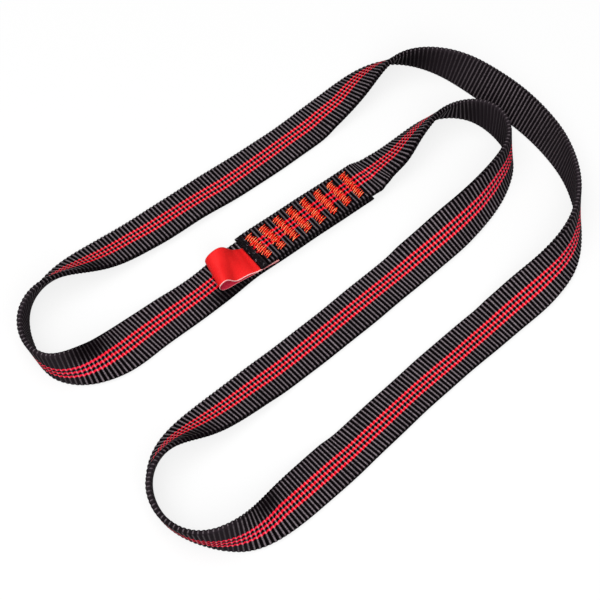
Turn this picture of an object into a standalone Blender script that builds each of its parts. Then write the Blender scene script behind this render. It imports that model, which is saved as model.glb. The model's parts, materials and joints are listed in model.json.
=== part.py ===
"""Climbing sling: a sewn loop of flat webbing, lying on a floor with its arms folded into two bights.

One strap, striped face up on the straight runs, turns onto its edge wherever it bends. Its two ends
overlap in a splice, which eight bar tacks hold. A folded label of smooth tape is sewn into the splice's
mouth by the first tack, and its free loop can be lifted.

Metres, +Z up. X runs along the splice, the floor is Z = 0 and the origin is under the middle of the
sling's box.
"""

import math

import bmesh
import bpy
import numpy as np

# Fit of one piece in or on another
CLEARANCE = 0.0003
FLOOR_CLEARANCE = 0.0001
CUT_OVERRUN = 0.001

# Webbing
WEBBING_WIDTH = 0.020
WEBBING_THICKNESS = 0.0026
WEBBING_EDGE_RADIUS = 0.0009
EDGE_ARC_STEPS = 2
SECTION_SPACING = 0.012
SECTION_TURN = math.radians(14)
SPLINE_SAMPLES = 2000

# Splice: the upper ply starts at the mouth, the lower ply ends under its far end
SPLICE_END_X = 0.0443
SPLICE_LENGTH = 0.0655
SPLICE_Y = 0.0313
PLY_GAP = 0.0006

# Bar tacks
TACK_COUNT = 8
FIRST_TACK_SETBACK = 0.0062
LAST_TACK_SETBACK = 0.0054
TACK_WIDTH = 0.0044
TACK_EDGE_MARGIN = 0.0023
TACK_THICKNESS = 0.0005
TACK_ROUNDING = 0.00018
STITCHES_PER_SIDE = 4
STITCH_SIZE = 0.0008
STITCH_INSET = 0.0003

# Label: a tape folded into a loop, with both ends sewn into the splice. Its loop stands higher at its
# far edge, towards +Y, than at its near one.
TAPE_THICKNESS = 0.00035
TAPE_PLY_GAP = 0.0001
LABEL_WIDTH = 0.0146
LABEL_NEAR_LENGTH = 0.0192
LABEL_NEAR_HEIGHT = 0.0063
LABEL_FAR_LENGTH = 0.0179
LABEL_FAR_HEIGHT = 0.0098
LABEL_SKEW = math.radians(5.5)
LABEL_Y = 0.0293
HINGE_SETBACK = 0.0017
HINGE_GAP = 0.0006
TAIL_OVERHANG = 0.00125
POCKET_REACH = 0.009
LABEL_SAMPLES = 36

# The loop's two edges from the side, out along the upper leg and back along the lower one: shares of
# the edge's length from the hinge, and of its height above it
NEAR_EDGE_SHARES = [
    (0.14, 0.14), (0.28, 0.20), (0.43, 0.19), (0.55, 0.26), (0.64, 0.50), (0.73, 0.82), (0.83, 1.00),
    (0.93, 0.90), (0.99, 0.62), (0.98, 0.28), (0.91, 0.04), (0.79, -0.07), (0.58, -0.06), (0.33, -0.04),
]
FAR_EDGE_SHARES = [
    (0.10, 0.12), (0.20, 0.24), (0.30, 0.46), (0.40, 0.72), (0.51, 0.92), (0.64, 1.00), (0.78, 0.95),
    (0.91, 0.80), (0.985, 0.56), (0.96, 0.28), (0.86, 0.08), (0.71, 0.00), (0.50, -0.02), (0.28, -0.03),
]

# Height that the strap loses after the splice, and gains before it
UPPER_PLY_DESCENT = 0.012
LOWER_PLY_RISE = 0.022

# The strap lies flat where it would lean less than this, and takes its full lean a little past it
FLAT_LEAN = math.radians(2.5)
FLAT_LEAN_BLEND = math.radians(6)

# Route of the strap from the splice's far end round to its mouth: x, y and the lean of its face in
# degrees. Lean 0 is striped face up, and 90 is on edge with the striped face to the right of travel.
ROUTE = [
    (0.054, 0.0322, -15), (0.064, 0.0325, -28), (0.074, 0.0342, -43), (0.084, 0.0360, -53),
    (0.095, 0.0360, -62), (0.106, 0.0302, -74), (0.113, 0.0168, -92), (0.1091, 0.0017, -84),
    (0.0948, -0.0084, -68), (0.069, -0.0146, -42), (0.038, -0.0166, -10), (-0.012, -0.0205, 0),
    (-0.057, -0.023, 7), (-0.0893, -0.024, 27), (-0.109, -0.0257, 58), (-0.124, -0.0364, 88),
    (-0.128, -0.0535, 104), (-0.121, -0.0687, 101), (-0.1057, -0.0776, 70), (-0.081, -0.0767, 32),
    (-0.046, -0.0718, 4), (0.014, -0.0648, 0), (0.0595, -0.0621, 17), (0.0866, -0.0588, 53),
    (0.104, -0.0492, 77), (0.1196, -0.0294, 93), (0.1272, -0.0006, 107), (0.125, 0.0344, 108),
    (0.1164, 0.0595, 87), (0.0985, 0.0752, 55), (0.0744, 0.0757, 24), (0.036, 0.0721, 1),
    (-0.024, 0.0715, 7), (-0.0743, 0.0727, 20), (-0.0967, 0.0738, 51), (-0.1132, 0.0683, 78),
    (-0.1247, 0.0524, 101), (-0.1237, 0.035, 92), (-0.108, 0.0262, 55), (-0.0825, 0.0272, 17),
    (-0.046, 0.0294, 4),
]

# Derived heights, from the floor up
LOWER_PLY_LIFT = FLOOR_CLEARANCE + TACK_THICKNESS + CLEARANCE
UPPER_PLY_LIFT = LOWER_PLY_LIFT + WEBBING_THICKNESS + PLY_GAP
HINGE_Z = LOWER_PLY_LIFT + WEBBING_THICKNESS + PLY_GAP / 2
SPLICE_TOP_Z = UPPER_PLY_LIFT + WEBBING_THICKNESS

# Derived places
MOUTH_X = SPLICE_END_X - SPLICE_LENGTH
FIRST_TACK_X = MOUTH_X + FIRST_TACK_SETBACK
TACK_PITCH = (SPLICE_LENGTH - FIRST_TACK_SETBACK - LAST_TACK_SETBACK) / (TACK_COUNT - 1)
TACK_LENGTH = WEBBING_WIDTH - 2 * TACK_EDGE_MARGIN
STITCH_HOLE = STITCH_SIZE + 2 * CLEARANCE
TAIL_THICKNESS = 2 * TAPE_THICKNESS + TAPE_PLY_GAP
LEG_OFFSET = (TAPE_THICKNESS + TAPE_PLY_GAP) / 2
TAIL_START = HINGE_GAP / 4
TAIL_LENGTH = HINGE_SETBACK + FIRST_TACK_SETBACK + TACK_WIDTH / 2 + TAIL_OVERHANG - TAIL_START


def clear_scene():
    for old in list(bpy.data.objects):
        bpy.data.objects.remove(old, do_unlink=True)


def new_collection(name):
    collection = bpy.data.collections.new(name)
    bpy.context.scene.collection.children.link(collection)
    return collection


def fabric(name, colour, roughness):
    material = bpy.data.materials.new(name)
    material.use_nodes = True
    shader = material.node_tree.nodes["Principled BSDF"]
    shader.inputs["Base Color"].default_value = (*colour, 1)
    shader.inputs["Roughness"].default_value = roughness
    shader.inputs["Metallic"].default_value = 0
    return material


def add_object(name, data, collection, material=None):
    piece = bpy.data.objects.new(name, data)
    collection.objects.link(piece)
    if material and not data.materials:
        data.materials.append(material)
    return piece


def hide_cutter(cutter):
    cutter.hide_render = True
    cutter.display_type = "WIRE"


def add_box(mesh, low, high):
    """Add a closed box between two corners to a bmesh."""
    made = bmesh.ops.create_cube(mesh, size=1)
    size = [b - a for a, b in zip(low, high)]
    middle = [(a + b) / 2 for a, b in zip(low, high)]
    bmesh.ops.scale(mesh, vec=size, verts=made["verts"])
    bmesh.ops.translate(mesh, vec=middle, verts=made["verts"])


def box_mesh(name, boxes):
    mesh = bmesh.new()
    for low, high in boxes:
        add_box(mesh, low, high)
    data = bpy.data.meshes.new(name)
    mesh.to_mesh(data)
    mesh.free()
    return data


def boolean(piece, other, operation):
    modifier = piece.modifiers.new(f"{operation.title()} {other.name}", "BOOLEAN")
    modifier.operation = operation
    modifier.object = other


def smooth_step(share):
    """Rise from 0 to 1, level at both ends."""
    share = np.clip(share, 0, 1)
    return share * share * (3 - 2 * share)


def cubic_through(points, start_slope, end_slope, count):
    """A number of even samples of the cubic spline through points, with set slopes at its two ends.

    The spline runs on the chord length between the points. Its slopes solve the usual three-term
    equations, so the second derivative is continuous at every point.
    """
    points = np.array(points, float)
    steps = np.linalg.norm(np.diff(points[:, :2], axis=0), axis=1)
    knots = np.concatenate([[0], np.cumsum(steps)])
    last = len(points) - 1
    system = np.eye(len(points))
    right = np.zeros_like(points)
    right[0] = start_slope
    right[-1] = end_slope
    for i in range(1, last):
        before, after = steps[i - 1], steps[i]
        system[i, i - 1:i + 2] = after, 2 * (before + after), before
        right[i] = 3 * (after / before * (points[i] - points[i - 1])
                        + before / after * (points[i + 1] - points[i]))
    slopes = np.linalg.solve(system, right)
    samples = np.linspace(0, knots[-1], count)
    spans = np.clip(np.searchsorted(knots, samples, side="right") - 1, 0, last - 1)
    width = steps[spans][:, None]
    t = (samples - knots[spans])[:, None] / width
    here, there = points[spans], points[spans + 1]
    return (here * (1 + 2 * t) * (1 - t) ** 2 + there * t * t * (3 - 2 * t)
            + slopes[spans] * width * t * (1 - t) ** 2 - slopes[spans + 1] * width * t * t * (1 - t))


def spread_sections(rows):
    """Fewer rows of x, y and lean: far apart where the strap is straight, close where it turns or leans."""
    steps = np.diff(rows[:, :2], axis=0)
    lengths = np.linalg.norm(steps, axis=1)
    turns = np.gradient(np.unwrap(np.arctan2(steps[:, 1], steps[:, 0])))
    leans = np.radians(np.diff(rows[:, 2]))
    needs = lengths / SECTION_SPACING + np.hypot(turns, leans) / SECTION_TURN
    reached = np.concatenate([[0], np.cumsum(needs)])
    stops = np.linspace(0, reached[-1], round(reached[-1]) + 1)
    return np.column_stack([np.interp(stops, reached, column) for column in rows.T])


def strap_path():
    """Rows of x, y, z and lean along the strap's middle, from the mouth round to the lower ply's end.

    The strap's lowest edge is on the floor, apart from the lift at the splice.
    """
    along = (1, 0, 0)
    points = [(SPLICE_END_X, SPLICE_Y, 0), *ROUTE, (MOUTH_X, SPLICE_Y, 0)]
    free = spread_sections(cubic_through(points, along, along, SPLINE_SAMPLES))
    travelled = np.concatenate([[0], np.cumsum(np.linalg.norm(np.diff(free[:, :2], axis=0), axis=1))])
    lift = (UPPER_PLY_LIFT * (1 - smooth_step(travelled / UPPER_PLY_DESCENT))
            + LOWER_PLY_LIFT * smooth_step(1 - (travelled[-1] - travelled) / LOWER_PLY_RISE))
    lean = np.radians(free[:, 2])
    lean = lean * smooth_step((abs(lean) - FLAT_LEAN) / FLAT_LEAN_BLEND)
    half_width = WEBBING_WIDTH / 2 - WEBBING_EDGE_RADIUS
    half_thickness = WEBBING_THICKNESS / 2 - WEBBING_EDGE_RADIUS
    reach = half_width * abs(np.sin(lean)) + half_thickness * abs(np.cos(lean)) + WEBBING_EDGE_RADIUS
    rows = np.column_stack([free[:, :2], lift + reach, lean])
    first = (MOUTH_X, SPLICE_Y, UPPER_PLY_LIFT + WEBBING_THICKNESS / 2, 0)
    last = (SPLICE_END_X, SPLICE_Y, LOWER_PLY_LIFT + WEBBING_THICKNESS / 2, 0)
    return np.vstack([first, rows, last])


def strap_section(collection):
    """The strap's section: a flat rectangle with rounded edges, drawn once round."""
    corners = []
    for across, up, start in ((1, 1, 0), (-1, 1, 90), (-1, -1, 180), (1, -1, 270)):
        for step in range(EDGE_ARC_STEPS + 1):
            angle = math.radians(start + 90 * step / EDGE_ARC_STEPS)
            corners.append((
                across * (WEBBING_WIDTH / 2 - WEBBING_EDGE_RADIUS) + WEBBING_EDGE_RADIUS * math.cos(angle),
                up * (WEBBING_THICKNESS / 2 - WEBBING_EDGE_RADIUS) + WEBBING_EDGE_RADIUS * math.sin(angle)))
    curve = bpy.data.curves.new("strap_section", "CURVE")
    curve.dimensions = "2D"
    spline = curve.splines.new("POLY")
    spline.points.add(len(corners) - 1)
    for point, (across, up) in zip(spline.points, corners):
        point.co = (across, up, 0, 1)
    spline.use_cyclic_u = True
    section = add_object("strap_section", curve, collection)
    hide_cutter(section)
    return section


def make_webbing(parts, helpers, material, cutters):
    """The strap: its section carried along the path, turned by the lean at each point."""
    curve = bpy.data.curves.new("webbing_path", "CURVE")
    curve.dimensions = "3D"
    curve.twist_mode = "Z_UP"
    curve.bevel_mode = "OBJECT"
    curve.bevel_object = strap_section(helpers)
    curve.use_fill_caps = True
    path = strap_path()
    spline = curve.splines.new("POLY")
    spline.points.add(len(path) - 1)
    for point, (x, y, z, lean) in zip(spline.points, path):
        point.co = (x, y, z, 1)
        point.tilt = lean
    sweep = add_object("webbing_sweep", curve, helpers)
    bpy.context.view_layer.update()
    evaluated = sweep.evaluated_get(bpy.context.evaluated_depsgraph_get())
    data = bpy.data.meshes.new_from_object(evaluated)
    data.name = "webbing"
    mesh = bmesh.new()
    mesh.from_mesh(data)
    bmesh.ops.remove_doubles(mesh, verts=mesh.verts, dist=CLEARANCE / 100)
    bmesh.ops.recalc_face_normals(mesh, faces=mesh.faces)
    mesh.to_mesh(data)
    mesh.free()
    data.materials.clear()
    webbing = add_object("webbing", data, parts, material)
    webbing.matrix_world = sweep.matrix_world
    bpy.data.objects.remove(sweep)
    for cutter in cutters:
        boolean(webbing, cutter, "DIFFERENCE")
    return webbing


def tack_places():
    return [FIRST_TACK_X + i * TACK_PITCH for i in range(TACK_COUNT)]


def stitch_places():
    """Middles of one tack's stitches, from the tack's own middle: a row on each side of the bar."""
    side = TACK_WIDTH / 2 - STITCH_INSET - STITCH_SIZE / 2
    reach = TACK_LENGTH / 2 - STITCH_INSET - STITCH_SIZE / 2
    rows = np.linspace(-reach, reach, STITCHES_PER_SIDE)
    return [(x, y) for x in (-side, side) for y in rows]


def make_needle_holes(helpers):
    """One box for each stitch of each tack, through both plies and the label between them."""
    half = STITCH_HOLE / 2
    bottom = LOWER_PLY_LIFT - CUT_OVERRUN
    top = SPLICE_TOP_Z + CUT_OVERRUN
    boxes = []
    for tack_x in tack_places():
        for x, y in stitch_places():
            middle_x, middle_y = tack_x + x, SPLICE_Y + y
            boxes.append(((middle_x - half, middle_y - half, bottom), (middle_x + half, middle_y + half, top)))
    holes = add_object("needle_holes", box_mesh("needle_holes", boxes), helpers)
    hide_cutter(holes)
    return holes


def make_bar_tacks(parts, helpers, material):
    """Bars of thread over and under the splice, joined through it by their stitches."""
    length, width = TACK_LENGTH / 2, TACK_WIDTH / 2
    under = (FLOOR_CLEARANCE, FLOOR_CLEARANCE + TACK_THICKNESS)
    over = (SPLICE_TOP_Z + CLEARANCE, SPLICE_TOP_Z + CLEARANCE + TACK_THICKNESS)
    half = STITCH_SIZE / 2
    bars = []
    for low, high in (under, over):
        mesh = bmesh.new()
        add_box(mesh, (-width, -length, low), (width, length, high))
        bmesh.ops.bevel(mesh, geom=mesh.edges[:], offset=TACK_ROUNDING, segments=1, affect="EDGES")
        bars.append(bpy.data.meshes.new("tack_bar"))
        mesh.to_mesh(bars[-1])
        mesh.free()
    middle_low, middle_high = (under[0] + under[1]) / 2, (over[0] + over[1]) / 2
    stitches = box_mesh("tack_stitches", [
        ((x - half, y - half, middle_low), (x + half, y + half, middle_high)) for x, y in stitch_places()])
    lower_bar, upper_bar = bars
    tool_upper = add_object("tack_upper_bar", upper_bar, helpers)
    tool_stitches = add_object("tack_stitches", stitches, helpers)
    for tool in (tool_upper, tool_stitches):
        hide_cutter(tool)
    pattern = add_object("tack_pattern", lower_bar, helpers)
    boolean(pattern, tool_stitches, "UNION")
    boolean(pattern, tool_upper, "UNION")
    bpy.context.view_layer.update()
    evaluated = pattern.evaluated_get(bpy.context.evaluated_depsgraph_get())
    data = bpy.data.meshes.new_from_object(evaluated)
    data.name = "bar_tack"
    data.materials.clear()
    for helper in (pattern, tool_upper, tool_stitches):
        bpy.data.objects.remove(helper)
    for number, tack_x in enumerate(tack_places(), start=1):
        tack = add_object(f"bar_tack_{number}", data, parts, material)
        tack.location = (tack_x, SPLICE_Y, 0)


def place_at_hinge(piece):
    """Stand a piece on the label's hinge line, whose own Y is the hinge's axis."""
    piece.location = (MOUTH_X - HINGE_SETBACK, LABEL_Y, HINGE_Z)
    piece.rotation_euler = (0, 0, -LABEL_SKEW)


def make_label_pocket(helpers):
    """Room that the label presses into the two plies, from under its loop to past its tails."""
    half_width = LABEL_WIDTH / 2 + CLEARANCE
    half_height = TAIL_THICKNESS / 2 + CLEARANCE
    low = (-POCKET_REACH, -half_width, -half_height)
    high = (TAIL_START + TAIL_LENGTH + CLEARANCE, half_width, half_height)
    pocket = add_object("label_pocket", box_mesh("label_pocket", [(low, high)]), helpers)
    place_at_hinge(pocket)
    hide_cutter(pocket)
    return pocket


def make_label_tails(parts, material, needle_holes):
    """The tape's two sewn ends, lying on each other between the plies."""
    low = (TAIL_START, -LABEL_WIDTH / 2, -TAIL_THICKNESS / 2)
    high = (TAIL_START + TAIL_LENGTH, LABEL_WIDTH / 2, TAIL_THICKNESS / 2)
    tails = add_object("label_tails", box_mesh("label_tails", [(low, high)]), parts, material)
    place_at_hinge(tails)
    boolean(tails, needle_holes, "DIFFERENCE")


def label_edge(length, height, shares):
    """One edge of the loop from the side: out along the upper leg, round the fold and back."""
    points = [(along * length, LEG_OFFSET + up * height) for along, up in shares]
    ends = (HINGE_GAP, LEG_OFFSET), (HINGE_GAP, -LEG_OFFSET)
    return cubic_through([ends[0], *points, ends[1]], (1, 0), (-1, 0), LABEL_SAMPLES)


def make_label_loop(parts, material):
    """The label's free loop: a sheet from its near edge to its far one, given its thickness."""
    near = label_edge(LABEL_NEAR_LENGTH, LABEL_NEAR_HEIGHT, NEAR_EDGE_SHARES)
    far = label_edge(LABEL_FAR_LENGTH, LABEL_FAR_HEIGHT, FAR_EDGE_SHARES)
    mesh = bmesh.new()
    near_row = [mesh.verts.new((-along, -LABEL_WIDTH / 2, up)) for along, up in near]
    far_row = [mesh.verts.new((-along, LABEL_WIDTH / 2, up)) for along, up in far]
    for i in range(LABEL_SAMPLES - 1):
        mesh.faces.new((near_row[i], near_row[i + 1], far_row[i + 1], far_row[i]))
    data = bpy.data.meshes.new("label_loop")
    mesh.to_mesh(data)
    mesh.free()
    loop = add_object("label_loop", data, parts, material)
    place_at_hinge(loop)
    solidify = loop.modifiers.new("Tape", "SOLIDIFY")
    solidify.thickness = TAPE_THICKNESS
    solidify.offset = 0
    solidify.use_even_offset = True


def main():
    clear_scene()
    parts = new_collection("climbing_sling")
    helpers = new_collection("cutters")
    black = fabric("webbing", (0.012, 0.011, 0.013), 0.75)
    thread = fabric("stitching", (0.85, 0.08, 0.02), 0.5)
    tape = fabric("label", (0.80, 0.02, 0.02), 0.35)
    holes = make_needle_holes(helpers)
    pocket = make_label_pocket(helpers)
    make_webbing(parts, helpers, black, [pocket, holes])
    make_bar_tacks(parts, helpers, thread)
    make_label_tails(parts, tape, holes)
    make_label_loop(parts, tape)


main()
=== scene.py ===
"""Climbing sling, dressed for the camera: ribbed webbing with a striped face, bar tacks and a cloth label.

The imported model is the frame. Each piece here is a surface worked out with numpy: a closed section that is
carried along a path. The webbing's route is repeated from the part, and the rest takes its place from the
frame's nodes and joint.
"""

import json
import math

import bpy
import numpy as np
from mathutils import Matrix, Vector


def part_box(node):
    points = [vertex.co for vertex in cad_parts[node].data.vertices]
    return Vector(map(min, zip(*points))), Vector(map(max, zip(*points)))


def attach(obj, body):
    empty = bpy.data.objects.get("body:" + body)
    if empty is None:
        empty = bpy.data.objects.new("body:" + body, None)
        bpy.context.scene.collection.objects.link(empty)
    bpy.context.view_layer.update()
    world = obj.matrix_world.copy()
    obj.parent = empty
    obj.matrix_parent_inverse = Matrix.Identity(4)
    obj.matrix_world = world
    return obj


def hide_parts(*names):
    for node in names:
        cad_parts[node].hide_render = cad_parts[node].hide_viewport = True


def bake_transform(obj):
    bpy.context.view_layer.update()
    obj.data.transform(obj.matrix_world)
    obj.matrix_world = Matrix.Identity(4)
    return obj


bl_info = {
    "name": "Climbing Sling",
    "version": (1, 0, 0),
    "blender": (4, 5, 0),
    "location": "3D View > Sidebar > Sling",
    "description": "Builds a sewn sling of ribbed webbing on the frame of its packed model",
    "category": "Add Mesh",
}

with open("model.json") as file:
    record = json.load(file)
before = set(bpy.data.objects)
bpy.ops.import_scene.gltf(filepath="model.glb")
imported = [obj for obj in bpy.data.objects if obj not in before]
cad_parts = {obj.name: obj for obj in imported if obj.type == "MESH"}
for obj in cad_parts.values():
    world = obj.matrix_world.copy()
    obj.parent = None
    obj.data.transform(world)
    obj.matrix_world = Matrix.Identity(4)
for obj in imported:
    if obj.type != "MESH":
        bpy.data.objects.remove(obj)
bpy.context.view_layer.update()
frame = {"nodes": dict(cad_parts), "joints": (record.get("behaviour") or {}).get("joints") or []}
MILLIMETRE = 0.001

# Places taken from the frame
TACK_NAMES = sorted(name for name in frame["nodes"] if name.startswith("bar_tack_"))
TACK_BOXES = [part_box(name) for name in TACK_NAMES]
TAIL_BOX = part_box("label_tails")
HINGE = np.array(frame["joints"][0]["pos_m"])
HINGE_AXIS = np.array(frame["joints"][0]["axis"])

# Route of the strap from the splice's far end round to its mouth: x, y and the lean of its face in
# degrees. Lean 0 is striped face up, and 90 is on edge with the striped face to the right of travel.
ROUTE = [
    (0.054, 0.0322, -15), (0.064, 0.0325, -28), (0.074, 0.0342, -43), (0.084, 0.0360, -53),
    (0.095, 0.0360, -62), (0.106, 0.0302, -74), (0.113, 0.0168, -92), (0.1091, 0.0017, -84),
    (0.0948, -0.0084, -68), (0.069, -0.0146, -42), (0.038, -0.0166, -10), (-0.012, -0.0205, 0),
    (-0.057, -0.023, 7), (-0.0893, -0.024, 27), (-0.109, -0.0257, 58), (-0.124, -0.0364, 88),
    (-0.128, -0.0535, 104), (-0.121, -0.0687, 101), (-0.1057, -0.0776, 70), (-0.081, -0.0767, 32),
    (-0.046, -0.0718, 4), (0.014, -0.0648, 0), (0.0595, -0.0621, 17), (0.0866, -0.0588, 53),
    (0.104, -0.0492, 77), (0.1196, -0.0294, 93), (0.1272, -0.0006, 107), (0.125, 0.0344, 108),
    (0.1164, 0.0595, 87), (0.0985, 0.0752, 55), (0.0744, 0.0757, 24), (0.036, 0.0721, 1),
    (-0.024, 0.0715, 7), (-0.0743, 0.0727, 20), (-0.0967, 0.0738, 51), (-0.1132, 0.0683, 78),
    (-0.1247, 0.0524, 101), (-0.1237, 0.035, 92), (-0.108, 0.0262, 55), (-0.0825, 0.0272, 17),
    (-0.046, 0.0294, 4),
]

# How far the ribs slant where the cloth shears in a bend: shares of the strap's length from the mouth, and
# the slant's tangent, which is under zero where the left ends lag behind
RIB_SLANTS = [
    (0.09, 0.0), (0.115, 0.07), (0.14, 0.0), (0.35, 0.0), (0.38, -0.17), (0.405, -0.03), (0.49, -0.02),
    (0.525, -0.10), (0.56, -0.02), (0.58, -0.13), (0.605, -0.07), (0.627, -0.17), (0.65, -0.03),
    (0.70, -0.02), (0.73, -0.05), (0.76, 0.0), (0.85, -0.03), (0.877, -0.31), (0.89, -0.19),
    (0.915, -0.03), (0.94, 0.0),
]

# How far the stripes wander from the strap's middle: shares of its length, and millimetres to the left
STRIPE_DRIFTS = [
    (0.05, 0.3), (0.13, -0.3), (0.145, -0.9), (0.16, -0.1), (0.18, -0.1), (0.226, -0.7), (0.26, -0.3),
    (0.32, -0.3), (0.34, -1.6), (0.357, -2.6), (0.371, -1.1), (0.384, 0.2), (0.395, -0.3), (0.415, -0.8),
    (0.45, -0.6), (0.47, -1.1), (0.50, -0.1), (0.517, -0.1), (0.533, -1.1), (0.56, 0.0), (0.65, -1.4),
    (0.67, -2.2), (0.678, -0.8), (0.684, 0.2), (0.695, -0.3), (0.711, -0.6), (0.743, 0.6), (0.776, -0.2),
    (0.785, -0.6), (0.797, 0.2), (0.807, 1.0), (0.82, 0.2), (0.845, -1.6), (0.864, -2.0), (0.871, -1.6),
    (0.876, -0.7), (0.883, 0.2), (0.95, 0.4),
]

# Shade patches: painted shade in the bends, where the ribs also close up, and at the last a painted shadow
# of the label on the strap. Share of the strap's length, place across it in half widths to the left, reach
# as a share of the length and in half widths, and depth
SHADE_PATCHES = [
    (0.111, 0.0, 0.011, 1.3, 0.80), (0.302, 0.75, 0.014, 0.60, 0.85), (0.381, 0.75, 0.009, 0.60, 0.85),
    (0.646, 0.0, 0.014, 1.3, 0.95), (0.803, 0.75, 0.011, 0.60, 0.80), (0.876, 0.75, 0.013, 0.65, 0.95),
    (0.935, -0.8, 0.013, 0.75, 1.0),
]

# Samples of the route, the lean under which the strap lies flat, and what it takes to reach its own lean
SPLINE_SAMPLES = 12000
FLAT_LEAN = math.radians(2.5)
FLAT_LEAN_BLEND = math.radians(6)

# The webbing's section: its edges' points in degrees, and its faces' as shares of the flat half width
EDGE_TURNS = (-50, 0, 50)
FACE_SHARES = (1, 0.9, 0.8, 0.4, 0, -0.4, -0.8, -0.9, -1)

# Where the sections of one rib stand, as shares of the pitch from groove to groove, and how ribs differ
RIB_SECTION_SHARES = (0.0, 0.06, 0.18, 0.38, 0.62, 0.82, 0.94)
RIB_SEED = 3
RIB_UNEVENNESS = 0.08

# Melted ends: their reach and what the ribs take to come back, as shares of the sealed length, the skin's
# level between crest and groove, and the square of what is left of the thickness at the cut
MELTED_SHARE = 0.7
MELT_BLEND_SHARE = 0.45
MELTED_LEVEL = 0.45
CUT_LEVEL = 0.2
CUT_NARROWING = 0.0003

# Waves of the melted level, the cut's outline and the strap's width: height, length of a radian, and start
MELTED_WAVES = ((0.25, 0.0007, 0),)
CUT_WAVES = ((0.00018, 0.0011, 0), (0.0001, 0.00043, 1))
WIDTH_WAVES = ((0.00010, 0.0131, 0), (0.00006, 0.0047, 0))

# A corner counts as raised or lowered from this sine of the lean, and fully a little past it. The back's
# corners have their grooves partly filled, but a raised one shows its ribs where they slant, wholly at the
# full slant, except in the last part of the strap.
RAISED_FROM = 0.2
RAISED_BLEND = 0.4
FULL_SLANT = 0.12
SMOOTH_CORNER_SHARE = 0.80
BACK_CORNER_FILL = 0.65

# Where the striped face looks down, the ribs' ends keep this share of their relief. It grows to the whole
# as the face turns up, from just below upright to just above it.
UPRIGHT_RELIEF = 0.35
UPRIGHT_FROM = -0.1
UPRIGHT_BLEND = 0.25

# Level of a shade patch's ribs between crest and groove, and how a bar tack presses the cloth, which also
# takes painted shade there: its reach along and across, how squarely it falls off, and the painted shade
# that the whole splice takes
SHADE_PATCH_LEVEL = 0.55
PRESS_REACH_SHARE = 1.2
PRESS_POWER = 4
PRESS_WIDTH_SHARE = 0.85
SPLICE_SHADE_DEPTH = 0.52

# The zigzag of a bar tack: how its steps, ends and arches differ, the reach of its strokes in half tacks,
# and how deep it lies in the cloth, in thread diameters
STROKE_POINTS = 8
THREAD_CORNERS = 6
STEP_UNEVENNESS = 0.13
STROKE_REACH_SHARE = 1.04
STROKE_END_SPREAD = (-0.00075, 0.00040)
ARCH_POWER = 0.6
ARCH_UNEVENNESS = 0.15
RETURN_ARCH_SHARE = 0.5
ZIGZAG_SINK_SHARE = 0.4

# The underlay threads of a bar tack: places and sway as shares of its width, ends as a share of its
# length, height in thread diameters, and the return stroke whose painted shade they take
UNDERLAY_SHARES = (0.40, 0.60)
UNDERLAY_POINTS = 40
UNDERLAY_END_SHARE = 0.03
UNDERLAY_SWAY_SHARE = 0.03
UNDERLAY_SWAY_RADIANS = 19
UNDERLAY_START_RADIANS = 7
UNDERLAY_HEIGHT_SHARE = 0.30
UNDERLAY_RIPPLE = 0.00003
UNDERLAY_RIPPLE_RADIANS = 60
UNDERLAY_STROKE = 1.5

# The label's two edges from the side, out along its upper leg and back along the lower one: shares of the
# edge's length from the hinge, and of its height above it
NEAR_EDGE_SHARES = [
    (0.14, 0.14), (0.28, 0.20), (0.43, 0.19), (0.55, 0.26), (0.64, 0.50), (0.73, 0.82), (0.83, 1.00),
    (0.93, 0.90), (0.99, 0.62), (0.98, 0.28), (0.91, 0.04), (0.79, -0.07), (0.58, -0.06), (0.33, -0.04),
]
FAR_EDGE_SHARES = [
    (0.10, 0.12), (0.20, 0.24), (0.30, 0.46), (0.40, 0.72), (0.51, 0.92), (0.64, 1.00), (0.78, 0.95),
    (0.91, 0.80), (0.985, 0.56), (0.96, 0.28), (0.86, 0.08), (0.71, 0.00), (0.50, -0.02), (0.28, -0.03),
]

# Points along and across the label, and how far its edges thin out
LABEL_ROWS = 150
LABEL_FACE_SHARES = (0, 0.03, 0.16, 0.33, 0.5, 0.67, 0.84, 0.97, 1)
LABEL_EDGE_SHARE = 0.6

# The part of the floor's brightness that is its own, the part of the light that it throws back, its gap
# under the sling, the camera's sensor in millimetres, and each lamp's name, place, side and power's setting
FLOOR_GLOW = 0.78
FLOOR_BOUNCE = 0.45
FLOOR_DROP = 0.00015
SENSOR_WIDTH = 36
LAMPS = (
    ("key_lamp", (-0.34, 0.20, 1.35), 1.2, "key_power"),
    ("fill_lamp", (-0.45, -0.75, 0.95), 0.9, "fill_power"),
)

# Colours beside the ones in the settings
# Painted reflection: a lighter black in the grooves of upright faces
UPRIGHT_GROOVE_COLOUR = (0.019, 0.0140, 0.0175)
# Painted light: a brighter, less shaded red for the stripes on upright faces
UPRIGHT_STRIPE_COLOUR = (1.0, 0.014, 0.055)
# Painted shade of the stripes' red in the grooves
STRIPE_GROOVE_SHADE_COLOUR = (0.22, 0.0002, 0.002)
MELTED_COLOUR = (0.0020, 0.0006, 0.0016)
MELTED_FOLD_COLOUR = (0.014, 0.008, 0.013)
# Painted glints on the melted skin's ridges
MELTED_GLINT_COLOUR = (0.38, 0.34, 0.38)
# Painted shade on the return strokes
SHADED_RETURN_THREAD_COLOUR = (0.08, 0.001, 0.001)
LIGHT_TAPE_COLOUR = (0.88, 0.021, 0.020)
DARK_TAPE_COLOUR = (0.72, 0.004, 0.008)
# Painted shade on the tape's inside
SHADED_INSIDE_TAPE_COLOUR = (0.62, 0.026, 0.062)
DARK_FLOOR_COLOUR = (0.80, 0.80, 0.80)

# Depths of the materials' bumps in metres
WEBBING_BUMP = 0.00006
THREAD_BUMP = 0.00004
TAPE_BUMP = 0.000025
FLOOR_BUMP = 0.00002

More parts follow.
